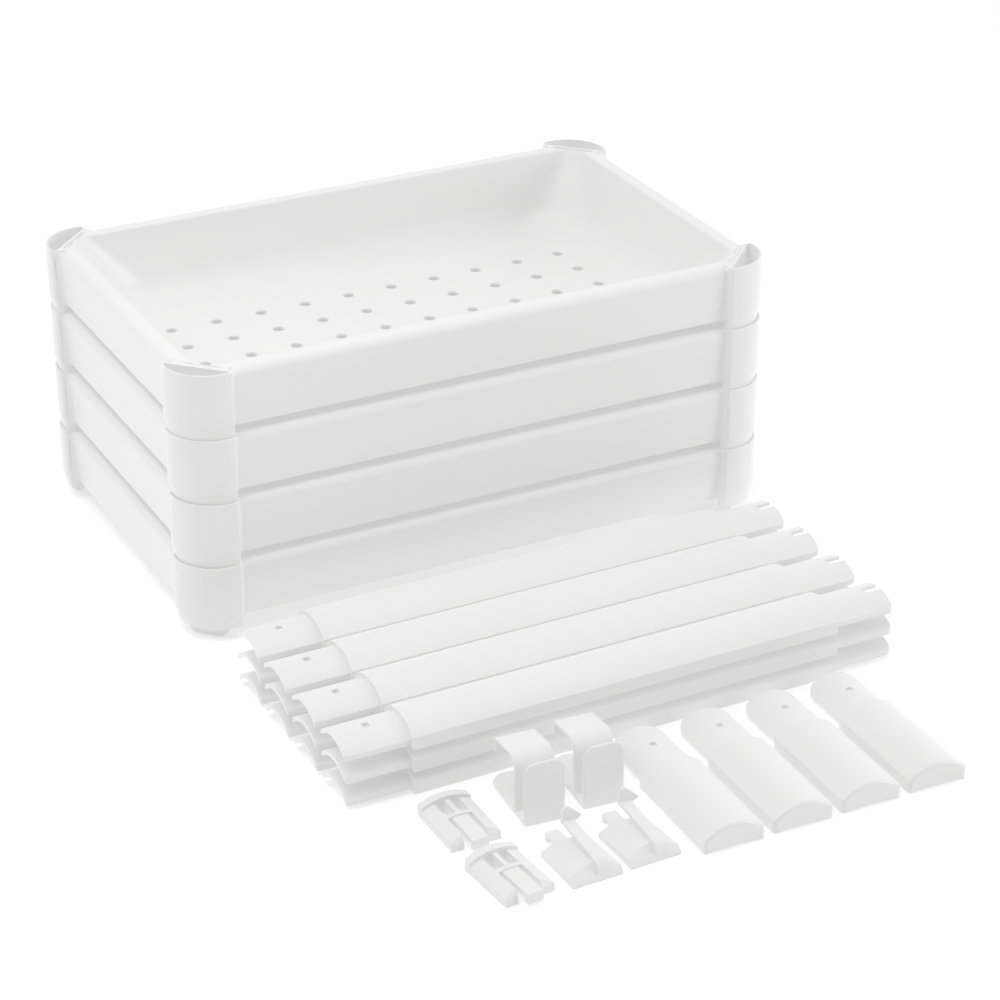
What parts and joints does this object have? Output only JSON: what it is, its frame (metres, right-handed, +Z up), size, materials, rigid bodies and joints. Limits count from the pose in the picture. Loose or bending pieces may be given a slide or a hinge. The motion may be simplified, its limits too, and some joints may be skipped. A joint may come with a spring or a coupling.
{
  "type": "stacking tray rack kit",
  "caption": "Knocked-down rack kit: nested drained trays with corner sockets, bundled crescent posts, short feet, rim hooks and clips.",
  "frame": {"origin": "middle of the underside of the lowest tray, where it rests on the ground", "axes": "+X along the trays, +Y from the small parts back towards the stack, +Z up"},
  "size_m": [0.6006, 0.8711, 0.2652],
  "materials": {
    "tray_plastic": "smooth moulded, satin to gloss",
    "post_plastic": "smooth moulded, satin",
    "clip_plastic": "smooth moulded, matte"
  },
  "bodies": {
    "tray_1": {"tray_1": "tray_plastic"},
    "tray_2": {"tray_2": "tray_plastic"},
    "tray_3": {"tray_3": "tray_plastic"},
    "tray_4": {"tray_4": "tray_plastic"},
    "post_1_low": {"post_1_low": "post_plastic"},
    "post_1_mid": {"post_1_mid": "post_plastic"},
    "post_1_top": {"post_1_top": "post_plastic"},
    "post_2_low": {"post_2_low": "post_plastic"},
    "post_2_mid": {"post_2_mid": "post_plastic"},
    "post_2_top": {"post_2_top": "post_plastic"},
    "post_3_low": {"post_3_low": "post_plastic"},
    "post_3_mid": {"post_3_mid": "post_plastic"},
    "post_3_top": {"post_3_top": "post_plastic"},
    "post_4_low": {"post_4_low": "post_plastic"},
    "post_4_mid": {"post_4_mid": "post_plastic"},
    "post_4_top": {"post_4_top": "post_plastic"},
    "foot_1": {"foot_1": "post_plastic"},
    "foot_2": {"foot_2": "post_plastic"},
    "foot_3": {"foot_3": "post_plastic"},
    "foot_4": {"foot_4": "post_plastic"},
    "rim_hook_1": {"rim_hook_1": "clip_plastic"},
    "rim_hook_2": {"rim_hook_2": "clip_plastic"},
    "fork_clip_1": {"fork_clip_1": "clip_plastic"},
    "fork_clip_2": {"fork_clip_2": "clip_plastic"},
    "latch_clip_1": {"latch_clip_1": "clip_plastic"},
    "latch_clip_2": {"latch_clip_2": "clip_plastic"}
  },
  "joints": [
    {"name": "tray_2_lift", "type": "slide", "parent": "tray_1", "child": "tray_2", "axis": [0, 0, 1], "range_m": [0, 0.413]},
    {"name": "tray_3_lift", "type": "slide", "parent": "tray_2", "child": "tray_3", "axis": [0, 0, 1], "range_m": [0, 0.413]},
    {"name": "tray_4_lift", "type": "slide", "parent": "tray_3", "child": "tray_4", "axis": [0, 0, 1], "range_m": [0, 0.413]},
    {"name": "post_1_low_lift", "type": "slide", "parent": "tray_1", "child": "post_1_low", "axis": [0, 0, 1], "range_m": [0, 0.15]},
    {"name": "post_1_mid_lift", "type": "slide", "parent": "post_1_low", "child": "post_1_mid", "axis": [0, 0, 1], "range_m": [0, 0.15]},
    {"name": "post_1_top_lift", "type": "slide", "parent": "post_1_mid", "child": "post_1_top", "axis": [0, 0, 1], "range_m": [0, 0.15]},
    {"name": "post_2_low_lift", "type": "slide", "parent": "tray_1", "child": "post_2_low", "axis": [0, 0, 1], "range_m": [0, 0.15]},
    {"name": "post_2_mid_lift", "type": "slide", "parent": "post_2_low", "child": "post_2_mid", "axis": [0, 0, 1], "range_m": [0, 0.15]},
    {"name": "post_2_top_lift", "type": "slide", "parent": "post_2_mid", "child": "post_2_top", "axis": [0, 0, 1], "range_m": [0, 0.15]},
    {"name": "post_3_low_lift", "type": "slide", "parent": "tray_1", "child": "post_3_low", "axis": [0, 0, 1], "range_m": [0, 0.15]},
    {"name": "post_3_mid_lift", "type": "slide", "parent": "post_3_low", "child": "post_3_mid", "axis": [0, 0, 1], "range_m": [0, 0.15]},
    {"name": "post_3_top_lift", "type": "slide", "parent": "post_3_mid", "child": "post_3_top", "axis": [0, 0, 1], "range_m": [0, 0.15]},
    {"name": "post_4_low_lift", "type": "slide", "parent": "tray_1", "child": "post_4_low", "axis": [0, 0, 1], "range_m": [0, 0.15]},
    {"name": "post_4_mid_lift", "type": "slide", "parent": "post_4_low", "child": "post_4_mid", "axis": [0, 0, 1], "range_m": [0, 0.15]},
    {"name": "post_4_top_lift", "type": "slide", "parent": "post_4_mid", "child": "post_4_top", "axis": [0, 0, 1], "range_m": [0, 0.15]},
    {"name": "foot_1_lift", "type": "slide", "parent": "tray_1", "child": "foot_1", "axis": [0, 0, 1], "range_m": [0, 0.12]},
    {"name": "foot_2_lift", "type": "slide", "parent": "tray_1", "child": "foot_2", "axis": [0, 0, 1], "range_m": [0, 0.12]},
    {"name": "foot_3_lift", "type": "slide", "parent": "tray_1", "child": "foot_3", "axis": [0, 0, 1], "range_m": [0, 0.12]},
    {"name": "foot_4_lift", "type": "slide", "parent": "tray_1", "child": "foot_4", "axis": [0, 0, 1], "range_m": [0, 0.12]},
    {"name": "rim_hook_1_lift", "type": "slide", "parent": "tray_1", "child": "rim_hook_1", "axis": [0, 0, 1], "range_m": [0, 0.12]},
    {"name": "rim_hook_2_lift", "type": "slide", "parent": "tray_1", "child": "rim_hook_2", "axis": [0, 0, 1], "range_m": [0, 0.12]},
    {"name": "fork_clip_1_lift", "type": "slide", "parent": "tray_1", "child": "fork_clip_1", "axis": [0, 0, 1], "range_m": [0, 0.12]},
    {"name": "fork_clip_2_lift", "type": "slide", "parent": "tray_1", "child": "fork_clip_2", "axis": [0, 0, 1], "range_m": [0, 0.12]},
    {"name": "latch_clip_1_lift", "type": "slide", "parent": "tray_1", "child": "latch_clip_1", "axis": [0, 0, 1], "range_m": [0, 0.12]},
    {"name": "latch_clip_2_lift", "type": "slide", "parent": "tray_1", "child": "latch_clip_2", "axis": [0, 0, 1], "range_m": [0, 0.12]}
  ]
}
